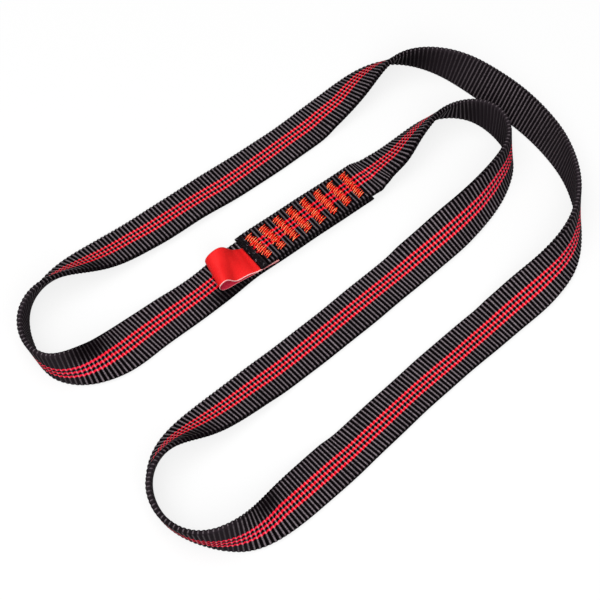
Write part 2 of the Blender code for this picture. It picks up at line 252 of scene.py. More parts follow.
# The stripes, their edges' wave and softness, and the pitches of the tape's threads, in millimetres
STRIPE_COUNT = 3
STRIPE_WAVE = 0.17
STRIPE_SOFTNESS = 0.07
WARP_PITCH = 0.17
WEFT_PITCH = 0.21


def number(name, description, default, **kind):
    return bpy.props.FloatProperty(name=name, description=description, default=default, **kind)


def length(name, description, default):
    return number(name, description, default, unit="LENGTH")


def colour(name, description, default):
    return bpy.props.FloatVectorProperty(
        name=name, description=description, default=default, size=3, subtype="COLOR")


class WebbingSettings(bpy.types.PropertyGroup):
    width: length("Width", "Width of the webbing over its ribs' ends", 0.0206)
    thickness: length("Thickness", "Thickness of the webbing over its ribs", 0.0026)
    edge_radius: length("Edge Radius", "Rounding of the webbing's two edges", 0.0009)
    splice_length: length("Splice Length", "Length over which the two ends overlap", 0.0655)
    first_tack_setback: length(
        "First Tack Setback", "From the upper ply's cut end to the first bar tack's middle", 0.0062)
    ply_gap: length("Ply Gap", "Gap between the two plies of the splice", 0.0006)
    upper_ply_descent: length(
        "Upper Ply Descent", "Length over which the strap drops after the splice", 0.012)
    lower_ply_rise: length("Lower Ply Rise", "Length over which the strap rises before the splice", 0.022)
    rib_pitch: length("Rib Pitch", "Distance from one crosswise rib to the next", 0.00196)
    rib_relief: length("Rib Relief", "Depth of the groove between two ribs", 0.00045)
    edge_relief: length(
        "Edge Relief", "How far the ribs' ends stand out from the grooves at the back's corners", 0.00004)
    corner_relief: length(
        "Corner Relief", "How far the ribs' ends stand out at the striped face's corners", 0.00042)
    yarn_width: length("Yarn Width", "Width of one lengthwise yarn", 0.00046)
    stripe_pitch: length("Stripe Pitch", "Distance between the middles of two stripes", 0.00238)
    stripe_width: length("Stripe Width", "Mean width of one stripe", 0.00111)
    sealed_length: length(
        "Sealed Length", "Length of each end where heat has melted the ribs smooth", 0.0037)
    cut_rounding: length("Cut Rounding", "Length over which each melted end rounds off", 0.0006)
    splice_dip: length("Splice Dip", "How far a bar tack presses into the webbing", 0.00030)
    # The crests' colour is a painted highlight, and the grooves' colour is the nylon's black deepened as
    # painted shade
    crest_highlight_colour: colour("Rib Colour", "Crests of the black ribs", (0.240, 0.201, 0.223))
    groove_colour: colour("Groove Colour", "Grooves between the ribs", (0.0014, 0.0004, 0.0010))
    stripe_colour: colour("Stripe Colour", "Red yarns of the stripes", (1.0, 0.0005, 0.016))
    # The stripes' crest colour is a painted highlight
    stripe_highlight_colour: colour(
        "Stripe Crest Colour", "Red yarns where they cross a crest", (1.0, 0.30, 0.35))


class StitchingSettings(bpy.types.PropertyGroup):
    thread_diameter: length("Thread Diameter", "Diameter of the sewing thread", 0.00047)
    strokes: bpy.props.IntProperty(
        name="Strokes", description="Forward strokes of the zigzag in one bar tack", default=14)
    slant_share: number(
        "Slant Share", "Part of the step to the next stroke that a forward stroke takes", 1.15,
        subtype="FACTOR")
    arch: length("Arch", "How far a stroke rises above its two ends", 0.0005)
    thread_colour: colour("Thread Colour", "Shaded side of the sewing thread", (1.0, 0.013, 0.003))
    # The light colour is a painted highlight on the thread's top
    thread_light_colour: colour(
        "Light Thread Colour", "Worn and lit top of the sewing thread", (1.0, 0.88, 0.36))
    tack_skews: bpy.props.FloatVectorProperty(
        name="Tack Skews", description="How far the near end of each bar tack stands ahead of its far end",
        default=(0.0015, 0.0014, 0.0010, 0.0009, 0.0007, 0.0006, 0.0004, -0.0003), size=8, unit="LENGTH")


class LabelSettings(bpy.types.PropertyGroup):
    width: length("Width", "Width of the label's tape", 0.0146)
    thickness: length("Thickness", "Thickness of the label's tape", 0.00035)
    ply_gap: length("Ply Gap", "Gap between the label's two plies at its sewn ends", 0.0001)
    near_length: length("Near Length", "Reach of the label's near edge from its hinge", 0.0192)
    near_height: length("Near Height", "Rise of the label's near edge above its hinge", 0.0063)
    far_length: length("Far Length", "Reach of the label's far edge from its hinge", 0.0179)
    far_height: length("Far Height", "Rise of the label's far edge above its hinge", 0.0098)
    tape_colour: colour("Tape Colour", "Satin faces of the label", (0.82, 0.013, 0.014))
    edge_colour: colour("Edge Colour", "Cut edges of the label", (1.0, 0.58, 0.56))


class StageSettings(bpy.types.PropertyGroup):
    azimuth: number("Azimuth", "Turn of the camera about the object", math.radians(-38.55), subtype="ANGLE")
    elevation: number(
        "Elevation", "Height of the camera above the floor", math.radians(58), subtype="ANGLE")
    distance: length("Distance", "Distance from the camera to its target", 0.7556)
    target: bpy.props.FloatVectorProperty(
        name="Target", description="Point on the floor in the middle of the picture",
        default=(-0.016, 0.0005, 0.0), size=3, subtype="XYZ", unit="LENGTH")
    lens: number("Lens", "Focal length in millimetres on a 36 mm sensor", 102.0)
    floor_size: length("Floor Size", "Side of the floor", 8.0)
    floor_colour: colour("Floor Colour", "Pale matt floor", (0.92, 0.92, 0.92))
    world_strength: number("World Strength", "Strength of the even light from all round", 0.25)
    key_power: number("Key Power", "Power of the large soft lamp overhead, in watts", 12.0)
    fill_power: number("Fill Power", "Power of the lamp on the viewer's side, in watts", 11.0)


class Finish:
    """The node tree of a material or a world, with short calls that add a node and return its output."""

    def __init__(self, name, owners="materials", shader="Principled BSDF"):
        self.owner = getattr(bpy.data, owners).new(name)
        self.owner.use_nodes = True
        self.tree = self.owner.node_tree
        self.shader = self.tree.nodes[shader]

    def add(self, kind, output=0, inputs=(), **settings):
        node = self.tree.nodes.new(kind)
        for key, value in settings.items():
            setattr(node, key, value)
        for socket, value in dict(inputs).items():
            self.feed(node.inputs[socket], value)
        return node.outputs[output]

    def feed(self, socket, value):
        """Link a socket to another node's output, or set it to a plain value."""
        if isinstance(value, bpy.types.NodeSocket):
            self.tree.links.new(value, socket)
        elif hasattr(value, "__len__") and len(value) == 3 and socket.type == "RGBA":
            socket.default_value = (*value, 1)
        else:
            socket.default_value = value

    def math(self, operation, *values, clamp=False):
        return self.add("ShaderNodeMath", inputs=enumerate(values), operation=operation, use_clamp=clamp)

    def product(self, first, *others):
        """All the values multiplied together."""
        for other in others:
            first = self.math("MULTIPLY", first, other)
        return first

    def smooth(self, value, low, high, start=0.0, end=1.0):
        """Map a value from low and high to start and end, smoothly and without going past them."""
        return self.add("ShaderNodeMapRange", interpolation_type="SMOOTHSTEP", inputs={
            "Value": value, "From Min": low, "From Max": high, "To Min": start, "To Max": end})

    def ridges(self, value, pitch):
        """Round ridges at a pitch: the sine's size, with a groove at each whole pitch."""
        return self.math("ABSOLUTE", self.math("SINE", self.product(value, math.pi / pitch)))

    def mix(self, share, first, second):
        return self.add("ShaderNodeMix", output=2, data_type="RGBA", inputs={0: share, 6: first, 7: second})

    def noise(self, scale, detail, roughness, place=None):
        """Noise that is fixed to the piece by its Object coordinates, unless another place is given."""
        place = place or self.add("ShaderNodeTexCoord", output=3)
        return self.add("ShaderNodeTexNoise", inputs={
            "Vector": place, "Scale": scale, "Detail": detail, "Roughness": roughness})

    def streaks(self, first, first_scale, second, second_scale, detail=2.0, roughness=0.6):
        """Noise over two values, drawn out along the one with the smaller scale."""
        scaled = (self.product(first, first_scale), self.product(second, second_scale))
        place = self.add("ShaderNodeCombineXYZ", inputs=enumerate(scaled))
        return self.noise(1.0, detail, roughness, place)

    def attribute(self, name):
        return self.add("ShaderNodeAttribute", output=2, attribute_name=name)

    def uv(self):
        """The piece's own UV map, as two outputs."""
        split = self.tree.nodes.new("ShaderNodeSeparateXYZ")
        self.tree.links.new(self.add("ShaderNodeUVMap", uv_map="UVMap"), split.inputs[0])
        return split.outputs[0], split.outputs[1]

    def bump(self, height, distance):
        return self.add("ShaderNodeBump", inputs={"Height": height, "Distance": distance})

    def finish(self, tint, roughness, normal, **constants):
        self.feed(self.shader.inputs["Base Color"], tint)
        self.feed(self.shader.inputs["Roughness"], roughness)
        self.feed(self.shader.inputs["Normal"], normal)
        for name, value in constants.items():
            self.shader.inputs[name.replace("_", " ")].default_value = value
        return self.owner


def smooth_step(share):
    """Rise from 0 to 1, level at both ends: three times the square less twice the cube."""
    share = np.clip(share, 0, 1)
    return share * share * (3 - 2 * share)


def waves(place, rows):
    """A sum of sines of a place: each row has a height, the length of one radian, and a start."""
    return sum(height * np.sin(place / radian + start) for height, radian, start in rows)


def cubic_through(points, start_slope, end_slope, count):
    """A number of even samples of the cubic spline through points, with set slopes at its two ends.

    The spline runs on the chord length between the points. Its slopes solve the usual three-term
    equations, so the second derivative is continuous at every point.
    """
    points = np.array(points, float)
    steps = np.linalg.norm(np.diff(points[:, :2], axis=0), axis=1)
    knots = np.concatenate([[0], np.cumsum(steps)])
    before, after = steps[:-1, None], steps[1:, None]
    system = np.eye(len(points))
    inner = np.arange(1, len(points) - 1)
    system[inner, inner - 1] = steps[1:]
    system[inner, inner] = 2 * (steps[:-1] + steps[1:])
    system[inner, inner + 1] = steps[:-1]
    right = np.zeros_like(points)
    right[0] = start_slope
    right[-1] = end_slope
    rise_before, rise_after = np.diff(points[:-1], axis=0), np.diff(points[1:], axis=0)
    right[1:-1] = 3 * (after / before * rise_before + before / after * rise_after)
    slopes = np.linalg.solve(system, right)
    samples = np.linspace(0, knots[-1], count)
    spans = np.clip(np.searchsorted(knots, samples, side="right") - 1, 0, len(points) - 2)
    width = steps[spans][:, None]
    t = (samples - knots[spans])[:, None] / width
    here, there = points[spans], points[spans + 1]
    return (here * (1 + 2 * t) * (1 - t) ** 2 + there * t * t * (3 - 2 * t)
            + slopes[spans] * width * t * (1 - t) ** 2 - slopes[spans + 1] * width * t * t * (1 - t))


def unit(vectors):
    return vectors / np.linalg.norm(vectors, axis=-1, keepdims=True)


def travelled(points):
    """Distance from the first point to each point along the line through them."""
    return np.concatenate([[0], np.cumsum(np.linalg.norm(np.diff(points, axis=0), axis=1))])


def tube_mesh(name, tubes):
    """Closed tubes through rings of points, in one mesh, with a flat face over each tube's two ends.

    A tube holds its rings, rows by columns by 3, and the two lists that its UV map runs with: along, from
    row to row, and round_it, which has one value more than there are columns, from column to column.
    Quads join each row to the next, and the last column to the first.
    """
    points, faces, uv = [], [], []
    for rings, along, round_it in tubes:
        rows, columns = rings.shape[:2]
        i, j = np.meshgrid(np.arange(rows - 1), np.arange(columns), indexing="ij")
        after = (j + 1) % columns
        corners = [(i, j), (i, after), (i + 1, after), (i + 1, j)]
        quads = np.stack([row * columns + column for row, column in corners], -1).reshape(-1, 4)
        ends = np.stack([np.arange(columns)[::-1], np.arange(columns) + (rows - 1) * columns])
        faces += (quads + len(points)).tolist() + (ends + len(points)).tolist()
        points += rings.reshape(-1, 3).tolist()
        u = np.stack([along[i], along[i], along[i + 1], along[i + 1]], -1)
        v = np.stack([round_it[j], round_it[j + 1], round_it[j + 1], round_it[j]], -1)
        u = np.append(u, np.repeat([along[0], along[-1]], columns))
        v = np.append(v, [round_it[:-1][::-1], round_it[:-1]])
        uv.append(np.stack([u, v], -1).ravel())
    mesh = bpy.data.meshes.new(name)
    mesh.from_pydata(points, [], faces)
    mesh.uv_layers.new(name="UVMap").data.foreach_set("uv", np.concatenate(uv))
    mesh.polygons.foreach_set("use_smooth", np.ones(len(mesh.polygons), bool))
    mesh.update()
    return mesh


def linked_object(name, data):
    """A new object in the scene, for a mesh, a lamp or a camera."""
    one = bpy.data.objects.new(name, data)
    bpy.context.scene.collection.objects.link(one)
    return one


def add_piece(name, mesh, material, body, slot, *nodes):
    """Put a finished mesh in the scene as a piece that rides on a body and stands for CAD nodes."""
    piece = linked_object(name, mesh)
    mesh.materials.append(material)
    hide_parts(*nodes)
    if body:
        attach(piece, body)
    return piece


def strap_line(cloth):
    """Rows of x, y, z and lean along the strap's middle, from the mouth round to the lower ply's end.

    The route is a spline in x, y and lean. The height is a lift plus the reach of the leaning section's
    lowest corner, so the strap lies on the floor. The lift is the height of the two plies at the splice
    and eases off over a short way.
    """
    tack_low, tack_high = TACK_BOXES[0]
    splice_y = (tack_low[1] + tack_high[1]) / 2
    mouth_x = (tack_low[0] + tack_high[0]) / 2 - cloth.first_tack_setback
    end_x = mouth_x + cloth.splice_length
    lower_lift = HINGE[2] - cloth.ply_gap / 2 - cloth.thickness
    upper_lift = HINGE[2] + cloth.ply_gap / 2
    points = [(end_x, splice_y, 0), *ROUTE, (mouth_x, splice_y, 0)]
    free = cubic_through(points, (1, 0, 0), (1, 0, 0), SPLINE_SAMPLES)
    run = travelled(free[:, :2])
    lift = (upper_lift * (1 - smooth_step(run / cloth.upper_ply_descent))
            + lower_lift * smooth_step(1 - (run[-1] - run) / cloth.lower_ply_rise))
    lean = np.radians(free[:, 2])
    lean = lean * smooth_step((abs(lean) - FLAT_LEAN) / FLAT_LEAN_BLEND)
    half_width = cloth.width / 2 - cloth.edge_radius
    half_thickness = cloth.thickness / 2 - cloth.edge_radius
    reach = half_width * abs(np.sin(lean)) + half_thickness * abs(np.cos(lean)) + cloth.edge_radius
    rows = np.column_stack([free[:, :2], lift + reach, lean])
    first = (mouth_x, splice_y, upper_lift + cloth.thickness / 2, 0)
    last = (end_x, splice_y, lower_lift + cloth.thickness / 2, 0)
    return np.vstack([first, rows, last])


def webbing_section():
    """The strap's section once round, as half-width shares, half-thickness shares and edge shares.

    A point lies at the first share times the flat half width, plus the third share times the edge's own
    half width, across, and at the second share times the half thickness, up. It runs from the left edge
    over the striped face to the right edge and back under.
    """
    edge = np.radians(EDGE_TURNS)
    flat = np.array(FACE_SHARES)
    zero, one = np.zeros(len(flat)), np.ones(len(flat))
    side = np.ones(len(edge))
    across = np.concatenate([side, flat, -side, -flat])
    up = np.concatenate([np.sin(edge), one, np.sin(edge)[::-1], -one])
    out = np.concatenate([np.cos(edge), zero, -np.cos(edge), zero])
    return across, up, out


def rib_profile(cloth, ribs, along):
    """How deep each section lies between crest and groove, how far it is woven, and how full it is.

    A rib's depth is the square of the distance from its crest, in half pitches, times an uneven size of
    its own. A melted end has a rippled level instead. At the cut the section shrinks as a quarter circle.
    """
    to_end = np.minimum(along, along[-1] - along)
    past_melt = to_end - cloth.sealed_length * MELTED_SHARE
    woven = smooth_step(past_melt / (cloth.sealed_length * MELT_BLEND_SHARE))
    count = round(ribs[-1])
    uneven = np.random.default_rng(RIB_SEED).normal(size=count + 1)
    each = np.interp(ribs, np.arange(count + 1) + 0.5, uneven)
    depth = abs(2 * (ribs % 1) - 1) ** 2 * (1 + RIB_UNEVENNESS * each)
    depth = woven * depth + (1 - woven) * (MELTED_LEVEL + waves(along, MELTED_WAVES))
    from_cut = np.minimum(to_end / cloth.cut_rounding, 1)
    full = np.sqrt(np.maximum(1 - (1 - from_cut) ** 2, CUT_LEVEL))
    return depth, woven, full


def shade_patch_depth(share_along, across):
    """The deepest painted shade of the shade patches at each point: each is a bell curve along and across
    the strap.
    """
    depth = np.zeros((len(share_along), len(across)))
    for share, side, reach_along, reach_across, deepest in SHADE_PATCHES:
        near_along = ((share_along - share) / reach_along) ** 2
        near_across = ((across - side) / reach_across) ** 2
        depth = np.maximum(depth, deepest * np.exp(-near_along[:, None] - near_across))
    return depth


def tack_press(cloth, along, x, across, up, out):
    """How far the bar tacks press the outer face of the upper ply, and of the lower one.

    A tack's press is one over e to the fourth power of the distance from its middle, in its own reach.
    """
    middles = np.array([(low[0] + high[0]) / 2 for low, high in TACK_BOXES])
    half = (TACK_BOXES[0][1][0] - TACK_BOXES[0][0][0]) / 2
    press = np.exp(-(((x[:, None] - middles) / (half * PRESS_REACH_SHARE)) ** PRESS_POWER)).sum(axis=1)
    in_upper = along < cloth.splice_length
    in_lower = along > along[-1] - cloth.splice_length
    inner = (out == 0) & (abs(across) < PRESS_WIDTH_SHARE)
    over = (press * in_upper)[:, None] * (inner & (up > 0))
    under = (press * in_lower)[:, None] * (inner & (up < 0))
    return over, under


def webbing_rings(cloth):
    """The strap's surface: its section carried along its line, swelling and shrinking with each rib.

    The half thickness and the edges' half width each lose their relief times the rib's depth. The edges'
    relief is large at the striped face's corners and slight at the back's. It fades at a corner that the
    lean lowers, grows at one of the back's that it raises, and shrinks where the face looks down. A shade
    patch draws the striped face's ribs to one level. The ribs slant by sliding each point along the
    strap, as a melted cut's ragged outline does, and each bar tack presses a dip into its ply. With the
    surface go each point's painted shade, over the tacks' press, the splice and the shade patches, how far
    its face looks up or down, and the stripes' drift.
    """
    line = strap_line(cloth)
    run = travelled(line[:, :3])
    count = round(run[-1] / cloth.rib_pitch)
    ribs = np.concatenate([(np.arange(count)[:, None] + np.array(RIB_SECTION_SHARES)).ravel(), [count]])
    along = ribs * run[-1] / count
    share_along = along / along[-1]
    middle = np.column_stack([np.interp(along, run, column) for column in line.T])
    place, lean = middle[:, :3], middle[:, 3]
    forward = unit(np.gradient(place, along, axis=0))
    left = unit(np.cross((0, 0, 1), forward))
    above = np.cross(forward, left)
    width_way = np.cos(lean)[:, None] * left + np.sin(lean)[:, None] * above
    face_way = np.cos(lean)[:, None] * above - np.sin(lean)[:, None] * left

    across, up, out = webbing_section()
    depth, woven, full = rib_profile(cloth, ribs, along)
    shade_patch = shade_patch_depth(share_along, across)
    face_depth = depth[:, None] + (SHADE_PATCH_LEVEL - depth[:, None]) * shade_patch * (up > 0)
    half_thickness = (cloth.thickness / 2 - cloth.rib_relief * face_depth) * full[:, None]
    half_width = cloth.width / 2 + waves(along, WIDTH_WAVES) - CUT_NARROWING * (1 - full)

    slant = np.interp(share_along, *np.array(RIB_SLANTS).T)
    raised = np.sin(lean)[:, None] * np.sign(across)
    slanting = smooth_step(-slant / FULL_SLANT) * (along < SMOOTH_CORNER_SHARE * along[-1])
    lifted = smooth_step((raised - RAISED_FROM) / RAISED_BLEND) * slanting[:, None]
    lowered = smooth_step((-raised - RAISED_FROM) / RAISED_BLEND)
    stands_out = np.where(up > 0, 1 - lowered, lifted)
    relief = cloth.edge_relief + (cloth.corner_relief - cloth.edge_relief) * stands_out
    looking_up = smooth_step((face_way[:, 2] - UPRIGHT_FROM) / UPRIGHT_BLEND)
    kept = UPRIGHT_RELIEF + (1 - UPRIGHT_RELIEF) * looking_up
    edge_out = cloth.edge_radius - relief * (kept * depth)[:, None]
    side_way = across * (half_width - cloth.edge_radius)[:, None] + out * edge_out

    at_back_corner = (up < 0) & (out != 0)
    fill = BACK_CORNER_FILL * cloth.rib_relief * (depth * full)[:, None] * at_back_corner * (1 - lifted)
    over, under = tack_press(cloth, along, place[:, 0], across, up, out)
    up_way = up * (half_thickness + fill) + cloth.splice_dip * (under - over)
    slide = waves(side_way, CUT_WAVES) * (1 - woven)[:, None] + slant[:, None] * side_way
    level_way = forward * (1, 1, 0)
    rings = (place[:, None] + side_way[..., None] * width_way[:, None]
             + up_way[..., None] * face_way[:, None] + slide[..., None] * level_way[:, None])

    once = np.stack([across * (cloth.width / 2 - cloth.edge_radius) + out * cloth.edge_radius,
                     up * cloth.thickness / 2], -1)
    round_it = travelled(np.vstack([once, once[:1]]))
    round_it -= round_it[1]
    # Painted shade over the whole splice. The first attribute carries the painted shade of the tacks' press,
    # the splice and the shade patches.
    sewn = SPLICE_SHADE_DEPTH * smooth_step((cloth.splice_length - along) / cloth.first_tack_setback)
    shown = {
        "pressed": np.maximum(np.maximum(over + under, sewn[:, None]), shade_patch),
        "upward": abs(face_way[:, 2:]),
        "stripe_drift": np.interp(share_along, *np.array(STRIPE_DRIFTS).T)[:, None],
    }
    return rings, ribs, round_it / MILLIMETRE, shown, place, along


def webbing_finish(cloth, rib_count, once_round):
    """Black nylon: ribs of lengthwise yarns with dark grooves, three red stripes and melted ends.

    The UV map counts ribs along the strap, and millimetres round its section. A rib's crest is pale, a
    painted highlight, and its groove dark, a painted shade. The crests' painted highlight fades under the
    painted shade of the bar tacks, the splice and the shade patches, on upright faces, and towards the
    edges, where only the ribs' very ends keep a painted highlight. Yarns are offset by half their width
    from rib to rib. A stripe is where the distance to the nearest stripe's middle is under its half width,
    which is largest on the crests, and all three drift across the strap together. The stripes take a
    painted highlight on the crests and painted shade in the grooves.
    """
    nodes = Finish("ribbed_webbing")
    ribs, around = nodes.uv()
    pressed = nodes.attribute("pressed")
    upward = nodes.attribute("upward")
    drift = nodes.attribute("stripe_drift")
    phase = nodes.math("FRACT", ribs)
    from_crest = nodes.math("ABSOLUTE", nodes.math("MULTIPLY_ADD", phase, 2.0, -1.0))
    crest = nodes.smooth(from_crest, 0.02, 0.52, 1.0, 0.0)
    half_turn = nodes.product(nodes.math("FLOOR", ribs), 0.5)
    yarns = nodes.math("MULTIPLY_ADD", around, MILLIMETRE / cloth.yarn_width, half_turn)
    yarn_round = nodes.ridges(nodes.math("FRACT", yarns), 1.0)
    streaks = nodes.streaks(ribs, 0.9, around, 2.4)
    fibres = nodes.streaks(ribs, 3.0, around, 26.0)
    highlight_blotches = nodes.noise(55.0, 3.0, 0.55)

    # Black ribs: painted highlights on the crests and painted shade in the grooves
    middle = once_round / 4
    from_edge = nodes.math("PINGPONG", around, middle)
    # The crests' painted highlight, uneven in blotches, fades under painted shade and on upright faces
    lit = nodes.product(crest, nodes.smooth(streaks, 0.28, 0.72, 0.42, 1.5),
                        nodes.math("MULTIPLY_ADD", yarn_round, 0.45, 0.62))
    lit = nodes.math("MULTIPLY", lit, nodes.smooth(highlight_blotches, 0.3, 0.7, 0.85, 1.15), clamp=True)
    lit = nodes.product(
        lit, nodes.smooth(pressed, 0.25, 0.9, 1.0, 0.12), nodes.smooth(upward, 0.0, 0.55, 0.15, 1.0))
    # Small painted highlights on the ribs' ends at the edges of an upright strap
    rib_end_highlight = nodes.product(
        nodes.math("POWER", crest, 2.0), nodes.smooth(from_edge, 0.35, 0.90, 0.5, 0.0),
        nodes.smooth(upward, 0.3, 0.8, 1.0, 0.1))
    # In the grooves, painted shade, lighter on upright faces as a painted reflection
    groove = nodes.mix(nodes.smooth(upward, 0.0, 0.5), UPRIGHT_GROOVE_COLOUR, cloth.groove_colour)
    shown = nodes.math("MULTIPLY_ADD", lit, nodes.smooth(from_edge, 0.7, 1.9, 0.10, 1.0), rib_end_highlight)
    black = nodes.mix(shown, groove, cloth.crest_highlight_colour)

    # Red stripes, with painted highlights on the crests and painted shade in the grooves
    pitch = cloth.stripe_pitch / MILLIMETRE
    half = cloth.stripe_width / MILLIMETRE / 2
    sideways = nodes.math("ADD", nodes.math("SUBTRACT", around, middle), drift)
    swing = nodes.math("SINE", nodes.product(ribs, 2 * math.pi))
    wavy = nodes.math("MULTIPLY_ADD", swing, STRIPE_WAVE, sideways)
    to_stripe = nodes.math("PINGPONG", wavy, pitch / 2)
    limit = nodes.math("MULTIPLY_ADD", crest, half * 0.34, half * 0.84)
    past = nodes.math("SUBTRACT", to_stripe, limit)
    band = nodes.math("LESS_THAN", nodes.math("ABSOLUTE", sideways), pitch * STRIPE_COUNT / 2)
    stripe = nodes.product(nodes.smooth(past, -STRIPE_SOFTNESS, STRIPE_SOFTNESS, 1.0, 0.0), band)
    # Painted highlight on the stripes' crests, weaker under painted shade
    stripe_highlight = nodes.product(crest, crest, nodes.smooth(streaks, 0.2, 0.8, 0.45, 1.0),
                         nodes.smooth(pressed, 0.0, 0.7, 1.0, 0.25))
    # The stripes are brighter and less shaded on upright faces, as painted light
    flatly = nodes.smooth(upward, 0.35, 0.95)
    in_groove = nodes.smooth(from_crest, 0.45, 1.0, 0.0, 0.65)
    groove_shade_share = nodes.product(in_groove, nodes.math("MULTIPLY_ADD", flatly, 0.8, 0.2))
    even = nodes.mix(flatly, UPRIGHT_STRIPE_COLOUR, cloth.stripe_colour)
    red = nodes.mix(stripe_highlight, nodes.mix(groove_shade_share, even, STRIPE_GROOVE_SHADE_COLOUR), cloth.stripe_highlight_colour)
    tint = nodes.mix(stripe, black, red)

    # Melted ends, with painted glints on the skin's ridges
    to_end = nodes.math("MINIMUM", ribs, nodes.math("SUBTRACT", float(rib_count), ribs))
    sealed_ribs = cloth.sealed_length / cloth.rib_pitch
    sealed = nodes.smooth(
        to_end, sealed_ribs * MELTED_SHARE, sealed_ribs * (MELTED_SHARE + MELT_BLEND_SHARE), 1.0, 0.0)
    crinkle = nodes.streaks(ribs, 2.6, around, 0.42, 4.0, 0.62)
    skin = nodes.mix(nodes.smooth(crinkle, 0.50, 0.72), MELTED_COLOUR, MELTED_FOLD_COLOUR)
    from_ridge = nodes.math("ABSOLUTE", nodes.math("SUBTRACT", crinkle, 0.5))
    ridge = nodes.smooth(from_ridge, 0.0, 0.03, 1.0, 0.0)
    glints = nodes.smooth(nodes.noise(420.0, 1.0, 0.5), 0.60, 0.70)
    skin = nodes.mix(nodes.product(ridge, glints), skin, MELTED_GLINT_COLOUR)
    tint = nodes.mix(sealed, tint, skin)

    woven_height = nodes.product(
        nodes.math("MULTIPLY_ADD", fibres, 0.35, yarn_round), crest, nodes.math("SUBTRACT", 1.0, sealed))
    height = nodes.math("ADD", woven_height, nodes.product(crinkle, sealed, 9.0))
    surface = nodes.bump(height, WEBBING_BUMP)
    nodes.feed(nodes.shader.inputs["Coat Weight"], nodes.product(sealed, 0.3))
    nodes.feed(nodes.shader.inputs["Coat Normal"], surface)
    rough = nodes.smooth(crest, 0.0, 1.0, 0.85, 0.44)
    return nodes.finish(tint, rough, surface, Specular_IOR_Level=0.04, Coat_Roughness=0.24, Coat_IOR=1.3)


def thread_tube(path, strokes, radius):
    """A round thread along a path: a circle in the plane square to the path at each of its points."""
    forward = unit(np.gradient(path, axis=0))
    side = unit(np.cross((0, 0, 1), forward))
    above = np.cross(forward, side)
    turn = np.arange(THREAD_CORNERS) * 2 * np.pi / THREAD_CORNERS
    circle = np.cos(turn)[:, None] * side[:, None] + np.sin(turn)[:, None] * above[:, None]
    return path[:, None] + radius * circle, strokes, np.arange(THREAD_CORNERS + 1) / THREAD_CORNERS


def zigzag_path(low, high, surface_z, outward, thread, skew, rng):
    """The line of one tack's zigzag: strokes along the strap that step across it, and back between them.

    Each pair is a forward stroke and a lower return stroke, straight from turn to turn, with steps and
    ends that differ a little. A stroke's height is its arch times a power of the sine, so it is level in
    the middle and dives at both ends. The whole row leans along the strap by the skew, from its far end
    to its near end.
    """
    count = thread.strokes
    step = (high[1] - low[1] - thread.thread_diameter) / count
    start = low[1] + thread.thread_diameter / 2 + step * np.arange(count)
    start = start + rng.normal(0, step * STEP_UNEVENNESS, count)
    start = np.append(start, start[-1] + step)
    turn = start[:-1] + np.diff(start) * thread.slant_share
    reach = (high[0] - low[0]) / 2 * STROKE_REACH_SHARE + rng.uniform(*STROKE_END_SPREAD, (count, 2))
    forward_arch = thread.arch * (1 + rng.normal(0, ARCH_UNEVENNESS, count))
    return_arch = np.full(count, (thread.arch - thread.thread_diameter) * RETURN_ARCH_SHARE)
    turns_x = np.append((reach * (-1, 1)).ravel(), -reach[-1, 0])
    turns_y = np.append(np.stack([start[:-1], turn], -1).ravel(), start[-1])
    arch = np.stack([forward_arch, return_arch], -1).reshape(-1, 1)

    t = np.arange(STROKE_POINTS) / STROKE_POINTS
    y = turns_y[:-1, None] + np.diff(turns_y)[:, None] * t
    lean = skew * ((low[1] + high[1]) / 2 - y) / (high[1] - low[1])
    x = (low[0] + high[0]) / 2 + (turns_x[:-1, None] + np.diff(turns_x)[:, None] * t) + lean
    bow = np.sin(np.pi * t) ** ARCH_POWER
    z = surface_z + outward * (arch * bow - thread.thread_diameter * ZIGZAG_SINK_SHARE)
    return np.stack([x, y, z], -1).reshape(-1, 3)


def underlay_path(low, high, share, surface_z, outward, thread, skew):
    """One straight thread under the zigzag, across the strap, that sways and ripples by a sine."""
    t = np.linspace(0, 1, UNDERLAY_POINTS)
    sway = UNDERLAY_SWAY_SHARE * np.sin(t * UNDERLAY_SWAY_RADIANS + share * UNDERLAY_START_RADIANS)
    x = low[0] + (high[0] - low[0]) * (share + sway) + skew * (0.5 - t)
    y = low[1] + (high[1] - low[1]) * (UNDERLAY_END_SHARE + (1 - 2 * UNDERLAY_END_SHARE) * t)
    ripple = UNDERLAY_RIPPLE * np.sin(t * UNDERLAY_RIPPLE_RADIANS)
    z = surface_z + outward * (thread.thread_diameter * UNDERLAY_HEIGHT_SHARE + ripple)
    return np.stack([x, y, z], -1)


def bar_tack_mesh(name, box, cloth, thread, skew, seed):
    """One bar tack: a zigzag over two underlay threads, on top of the splice and again underneath."""
    low, high = box
    rng = np.random.default_rng(seed)
    radius = thread.thread_diameter / 2
    top = HINGE[2] + cloth.ply_gap / 2 + cloth.thickness - cloth.splice_dip
    bottom = HINGE[2] - cloth.ply_gap / 2 - cloth.thickness + cloth.splice_dip
    tubes = []
    for surface_z, outward in ((top, 1), (bottom, -1)):
        zigzag = zigzag_path(low, high, surface_z, outward, thread, skew, rng)
        tubes.append(thread_tube(zigzag, np.arange(len(zigzag)) / STROKE_POINTS, radius))
        for share in UNDERLAY_SHARES:
            underlay = underlay_path(low, high, share, surface_z, outward, thread, skew)
            tubes.append(thread_tube(underlay, np.full(len(underlay), UNDERLAY_STROKE), radius))
    return tube_mesh(name, tubes)


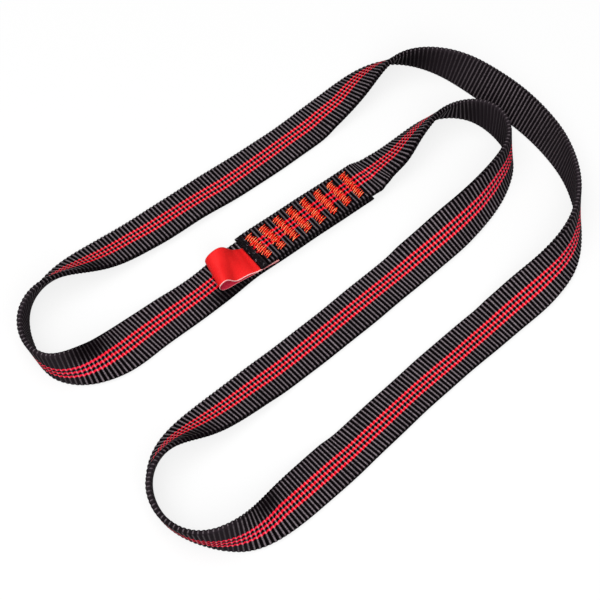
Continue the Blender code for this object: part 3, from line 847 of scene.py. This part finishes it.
def thread_finish(thread):
    """Glossy twisted thread: two plies that wind round it, and pale painted highlights on the forward
    strokes.

    The UV map counts strokes along the thread, even ones forward, and turns once round it. The painted
    highlights lie a quarter and three quarters of the way round, on the thread's top and underside, so that
    they show on both sides of the splice. The return strokes are dark, a painted shade.
    """
    nodes = Finish("sewing_thread")
    along, around = nodes.uv()
    plies = nodes.ridges(nodes.math("MULTIPLY_ADD", along, 5.0, nodes.product(around, 2.0)), 1.0)
    from_top = nodes.math("PINGPONG", nodes.math("SUBTRACT", around, 0.25), 0.25)
    in_pair = nodes.math("PINGPONG", nodes.math("SUBTRACT", along, 0.42), 1.0)
    patches = nodes.noise(700.0, 2.0, 0.6)
    # Painted highlights on the forward strokes' tops and undersides, broken up by patches
    highlight = nodes.product(
        nodes.smooth(from_top, 0.0, 0.10, 1.0, 0.0), nodes.smooth(in_pair, 0.32, 0.52, 1.0, 0.0),
        nodes.smooth(patches, 0.40, 0.60, 0.08, 1.0), nodes.math("MULTIPLY_ADD", plies, 0.5, 0.5))
    tint = nodes.mix(highlight, thread.thread_colour, thread.thread_light_colour)
    # Painted shade on the return strokes and the underlay threads
    in_return = nodes.math("PINGPONG", nodes.math("SUBTRACT", along, 0.5), 1.0)
    under = nodes.product(
        nodes.smooth(in_return, 0.44, 0.60, 0.0, 0.95), nodes.smooth(in_return, 0.78, 1.0, 1.0, 0.30))
    tint = nodes.mix(under, tint, SHADED_RETURN_THREAD_COLOUR)
    height = nodes.math("MULTIPLY_ADD", nodes.noise(6000.0, 2.0, 0.5), 0.3, plies)
    rough = nodes.smooth(patches, 0.2, 0.8, 0.30, 0.48)
    return nodes.finish(tint, rough, nodes.bump(height, THREAD_BUMP), Specular_IOR_Level=0.15)


def label_edge(reach, rise, shares, leg, tail):
    """One edge of the tape from the side: out from its sewn end, round the loop and back."""
    points = [(along * reach, leg + up * rise) for along, up in shares]
    route = [(-tail, leg), (-tail / 3, leg), (0, leg), *points, (0, -leg), (-tail / 3, -leg), (-tail, -leg)]
    return cubic_through(route, (1, 0), (-1, 0), LABEL_ROWS)


def label_rings(label):
    """The label's tape: a sheet ruled from its near edge's curve to its far edge's, given its thickness.

    The sheet's own normal at each point is the cross product of its two directions. The section goes over
    the outer face, round the far edge, back over the inner face and round the near edge, and it is
    thinner at the edges.
    """
    leg = (label.thickness + label.ply_gap) / 2
    tail = TAIL_BOX[1][0] - HINGE[0]
    near = label_edge(label.near_length, label.near_height, NEAR_EDGE_SHARES, leg, tail)
    far = label_edge(label.far_length, label.far_height, FAR_EDGE_SHARES, leg, tail)
    flat = np.array(LABEL_FACE_SHARES)
    across = np.concatenate([flat, [1], flat[::-1], [0]])
    side = np.concatenate([np.ones(len(flat)), [0], -np.ones(len(flat)), [0]])
    over = np.concatenate([np.zeros(len(flat)), [1], np.zeros(len(flat)), [-1]])
    sheet = near[:, None] + (far - near)[:, None] * across[None, :, None]
    sideways = np.broadcast_to((across - 0.5) * label.width, sheet.shape[:2])
    place = np.stack([-sheet[..., 0], sideways, sheet[..., 1]], -1)
    run_way = unit(np.gradient(place, axis=0))
    over_width = np.full(len(near), label.width)
    cross_way = unit(np.stack([near[:, 0] - far[:, 0], over_width, far[:, 1] - near[:, 1]], -1))[:, None]
    normal = unit(np.cross(cross_way, run_way))
    half = label.thickness / 2
    pinch = np.where(np.isin(across, (0, 1)), LABEL_EDGE_SHARE, 1)
    place = place + normal * (side * pinch * half)[..., None] + cross_way * (over * half)[:, None]
    axis = unit(HINGE_AXIS)
    rings = place @ np.array([(axis[1], -axis[0], 0), axis, (0, 0, 1)]) + HINGE
    crossed = abs(np.diff(across, append=across[0])) * label.width
    turned = (np.diff(side, append=side[0]) != 0) * half
    round_it = np.concatenate([[0], np.cumsum(crossed + turned)])
    return rings, travelled((near + far) / 2) / MILLIMETRE, round_it / MILLIMETRE


def label_finish(label, once_round):
    """Satin tape: fine close threads both ways, a soft shift of tone, a painted shade inside and pale cut
    edges.

    The UV map holds millimetres along and round the tape. Its two cut edges are where the way round is
    near nothing, half way or the whole way, and its inner face is the second half of the way round.
    """
    nodes = Finish("label_tape")
    along, around = nodes.uv()
    half_round = once_round / 2
    from_start = nodes.math("PINGPONG", around, half_round)
    from_edge = nodes.math("MINIMUM", from_start, nodes.math("SUBTRACT", half_round, from_start))
    tone = nodes.noise(160.0, 3.0, 0.55)
    slubs = nodes.streaks(along, 0.5, around, 5.0)
    inside = nodes.smooth(around, half_round, half_round + 0.3)
    face = nodes.mix(nodes.smooth(tone, 0.3, 0.7, 0.0, 0.5), label.tape_colour, LIGHT_TAPE_COLOUR)
    face = nodes.mix(nodes.smooth(slubs, 0.45, 0.8, 0.0, 0.25), face, DARK_TAPE_COLOUR)
    face = nodes.mix(inside, face, SHADED_INSIDE_TAPE_COLOUR)
    edge = nodes.product(
        nodes.smooth(from_edge, 0.14, 0.38, 1.0, 0.0), nodes.smooth(slubs, 0.2, 0.7, 0.55, 1.0))
    tint = nodes.mix(edge, face, label.edge_colour)
    warp = nodes.product(nodes.ridges(around, WARP_PITCH), 0.6)
    weft = nodes.product(nodes.ridges(along, WEFT_PITCH), 0.4)
    rough = nodes.smooth(slubs, 0.2, 0.8, 0.36, 0.52)
    surface = nodes.bump(nodes.math("ADD", warp, weft), TAPE_BUMP)
    return nodes.finish(tint, rough, surface, Specular_IOR_Level=0.12)


def camera_place(stage):
    """The camera's place: back from its target by the azimuth, elevation and distance."""
    level = math.cos(stage.elevation)
    back = (math.sin(stage.azimuth) * level, -math.cos(stage.azimuth) * level, math.sin(stage.elevation))
    return np.array(stage.target) + stage.distance * np.array(back)


def add_lamp(name, place, size, power):
    """A square soft lamp that faces the point under the middle of the object."""
    data = bpy.data.lights.new(name, "AREA")
    data.shape = "SQUARE"
    data.size = size
    data.energy = power
    lamp = linked_object(name, data)
    lamp.location = place
    lamp.rotation_euler = (-lamp.location).to_track_quat("-Z", "Y").to_euler()


def floor_finish(stage):
    """Matt pale floor, a little brighter to the camera itself, with its shadows kept."""
    nodes = Finish("pale_floor")
    grain = nodes.noise(40.0, 2.0, 0.5)
    shade = nodes.smooth(grain, 0.2, 0.8, 0.985, 1.0)
    tint = nodes.mix(shade, DARK_FLOOR_COLOUR, stage.floor_colour)
    seen = nodes.add("ShaderNodeLightPath", output=0)
    dimmed = nodes.math("MULTIPLY_ADD", seen, FLOOR_GLOW + FLOOR_BOUNCE - 1, 1 - FLOOR_BOUNCE)
    for_camera = nodes.mix(dimmed, tint, (0.0, 0.0, 0.0))
    nodes.feed(nodes.shader.inputs["Emission Color"], (1.0, 1.0, 1.0))
    nodes.feed(nodes.shader.inputs["Emission Strength"], nodes.product(seen, FLOOR_GLOW))
    return nodes.finish(for_camera, 0.9, nodes.bump(grain, FLOOR_BUMP), Specular_IOR_Level=0.0)


def set_world(scene, stage):
    """Even pale light from all round, which the camera sees as white, straight or through a clear piece."""
    nodes = Finish("surroundings", "worlds", "Background")
    scene.world = nodes.owner
    direct = nodes.add("ShaderNodeLightPath", output="Is Camera Ray")
    seen = nodes.math("MAXIMUM", direct, nodes.add("ShaderNodeLightPath", output="Is Transmission Ray"))
    strength = nodes.math("MULTIPLY_ADD", seen, 1 - stage.world_strength, stage.world_strength)
    nodes.feed(nodes.shader.inputs["Color"], (1.0, 1.0, 1.0))
    nodes.feed(nodes.shader.inputs["Strength"], strength)


class SLING_OT_set_stage(bpy.types.Operator):
    """Set up the camera, the pale floor, the soft lamps and the white surroundings"""

    bl_idname = "sling.set_stage"
    bl_label = "Set Stage"

    def execute(self, context):
        stage = context.scene.sling_stage
        data = bpy.data.cameras.new("camera")
        data.lens = stage.lens
        data.sensor_width = SENSOR_WIDTH
        camera = linked_object("camera", data)
        camera.location = camera_place(stage)
        camera.rotation_euler = (camera.location - stage.target.copy()).to_track_quat("Z", "Y").to_euler()
        context.scene.camera = camera

        half = stage.floor_size / 2
        mesh = bpy.data.meshes.new("floor")
        sides = ((-half, -half), (half, -half), (half, half), (-half, half))
        mesh.from_pydata([(x, y, -FLOOR_DROP) for x, y in sides], [], [(0, 1, 2, 3)])
        mesh.materials.append(floor_finish(stage))
        linked_object("floor", mesh)

        for name, place, size, power in LAMPS:
            add_lamp(name, place, size, getattr(stage, power))
        set_world(context.scene, stage)
        context.scene.view_settings.view_transform = "Standard"
        return {"FINISHED"}


class SLING_OT_weave_webbing(bpy.types.Operator):
    bl_idname = "sling.weave_webbing"
    bl_label = "Weave Webbing"

    def execute(self, context):
        cloth = context.scene.sling_webbing
        rings, ribs, round_it, shown, line, along = webbing_rings(cloth)
        mesh = tube_mesh("ribbed_webbing", [(rings, ribs, round_it)])
        for name, values in shown.items():
            at_points = np.broadcast_to(values, rings.shape[:2]).ravel()
            mesh.attributes.new(name, "FLOAT", "POINT").data.foreach_set("value", at_points)
        material = webbing_finish(cloth, ribs[-1], round_it[-1] - round_it[0])
        piece = add_piece("ribbed_webbing", mesh, material, "sling", "webbing", "webbing")
        return {"FINISHED"}


class SLING_OT_sew_bar_tacks(bpy.types.Operator):
    """Sew the zigzag bar tacks through the splice"""

    bl_idname = "sling.sew_bar_tacks"
    bl_label = "Sew Bar Tacks"

    def execute(self, context):
        thread = context.scene.sling_stitching
        material = thread_finish(thread)
        rows = zip(TACK_NAMES, TACK_BOXES, thread.tack_skews)
        for place, (node, box, skew) in enumerate(rows, start=1):
            name = f"stitched_tack_{place}"
            mesh = bar_tack_mesh(name, box, context.scene.sling_webbing, thread, skew, place)
            add_piece(name, mesh, material, "sling", "stitching", node)
        return {"FINISHED"}


class SLING_OT_fold_label(bpy.types.Operator):
    """Fold the cloth label, from its sewn ends round its free loop"""

    bl_idname = "sling.fold_label"
    bl_label = "Fold Label"

    def execute(self, context):
        label = context.scene.sling_label
        tape = label_rings(label)
        mesh = tube_mesh("folded_label", [tape])
        material = label_finish(label, tape[2][-1])
        piece = add_piece("folded_label", mesh, material, None, "label", "label_tails", "label_loop")
        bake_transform(piece)
        return {"FINISHED"}


class SLING_PT_panel(bpy.types.Panel):
    """List the steps that build the sling"""

    bl_idname = "SLING_PT_panel"
    bl_label = "Climbing Sling"
    bl_space_type = "VIEW_3D"
    bl_region_type = "UI"
    bl_category = "Sling"

    def draw(self, context):
        for operator in OPERATORS:
            self.layout.operator(operator.bl_idname)
        for group in SETTINGS:
            settings = getattr(context.scene, group)
            box = self.layout.box()
            for name in settings.bl_rna.properties.keys():
                if name not in ("rna_type", "name"):
                    box.prop(settings, name)


SETTINGS = {
    "sling_stage": StageSettings,
    "sling_webbing": WebbingSettings,
    "sling_stitching": StitchingSettings,
    "sling_label": LabelSettings,
}
OPERATORS = (SLING_OT_set_stage, SLING_OT_weave_webbing, SLING_OT_sew_bar_tacks, SLING_OT_fold_label)


def register():
    for group in (*SETTINGS.values(), *OPERATORS, SLING_PT_panel):
        bpy.utils.register_class(group)
    for name, group in SETTINGS.items():
        setattr(bpy.types.Scene, name, bpy.props.PointerProperty(type=group))


def unregister():
    for name in SETTINGS:
        delattr(bpy.types.Scene, name)
    for group in (SLING_PT_panel, *OPERATORS, *SETTINGS.values()):
        bpy.utils.unregister_class(group)


def main():
    register()
    bpy.ops.sling.set_stage()
    bpy.ops.sling.weave_webbing()
    bpy.ops.sling.sew_bar_tacks()
    bpy.ops.sling.fold_label()


if __name__ == "__main__":
    main()
